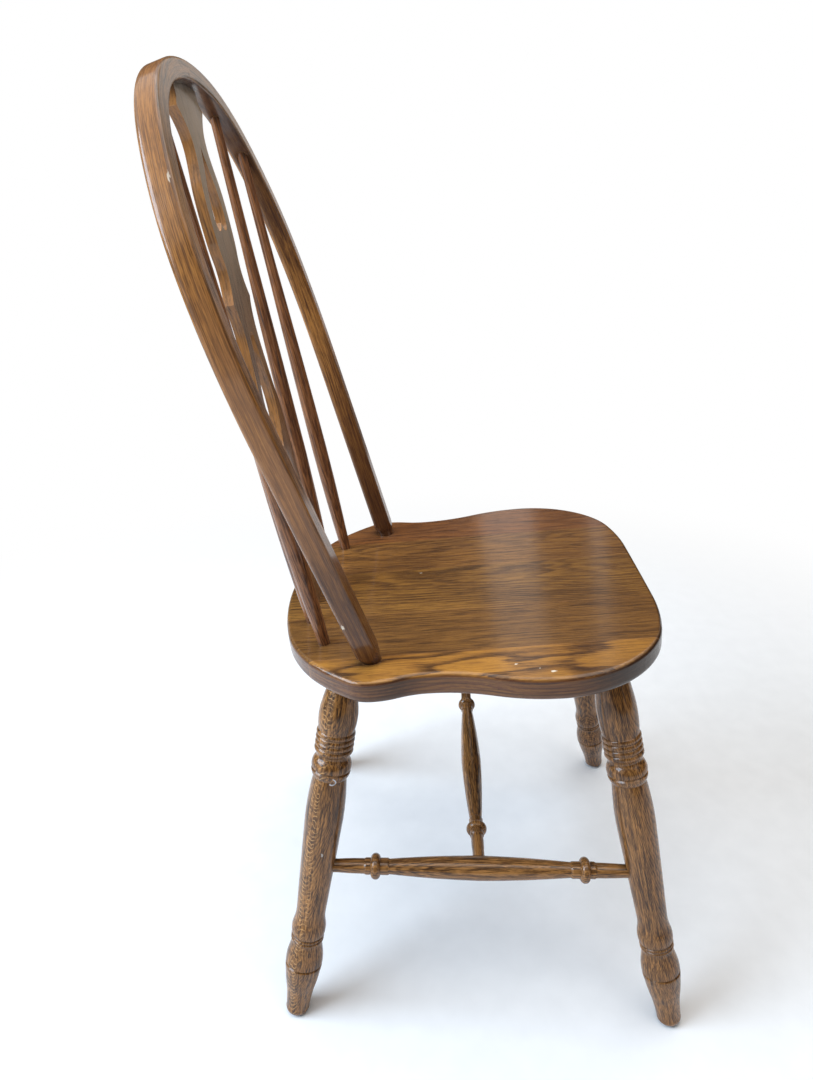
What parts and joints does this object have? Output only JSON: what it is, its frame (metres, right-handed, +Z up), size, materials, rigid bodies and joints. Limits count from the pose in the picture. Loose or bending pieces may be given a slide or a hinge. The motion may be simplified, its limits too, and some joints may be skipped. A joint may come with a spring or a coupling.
{
  "type": "wheelback dining chair",
  "caption": "Dark-stained oak dining chair with a bent bow back, slim spindles, a pierced centre splat, a shaped board seat and splayed turned legs tied by H stretchers.",
  "frame": {"origin": "on the floor at the middle of the chair's bounding box", "axes": "+Z up; the chair faces -Y and the sitter's left is +X"},
  "size_m": [0.4492, 0.509, 0.9577],
  "materials": {
    "seat_oak": "golden-brown stain under satin lacquer",
    "back_oak": "dark stain under satin lacquer, worn lighter on the edges",
    "frame_oak": "dark stain under satin lacquer",
    "glide_steel": "dull, worn by the floor",
    "pin_steel": "dull"
  },
  "bodies": {
    "root": {"glide_front_right": "glide_steel", "glide_front_left": "glide_steel", "glide_rear_right": "glide_steel", "glide_rear_left": "glide_steel", "stretcher_right": "frame_oak", "stretcher_left": "frame_oak", "stretcher_cross": "frame_oak", "leg_front_right": "frame_oak", "leg_front_left": "frame_oak", "leg_rear_right": "frame_oak", "leg_rear_left": "frame_oak", "spindle_outer_right": "back_oak", "spindle_outer_left": "back_oak", "spindle_inner_right": "back_oak", "spindle_inner_left": "back_oak", "splat_pin": "pin_steel", "splat": "back_oak", "bow": "back_oak", "seat_board_1": "seat_oak", "seat_board_2": "seat_oak", "seat_board_3": "seat_oak", "seat_board_4": "seat_oak", "seat_board_5": "seat_oak"}
  },
  "joints": []
}
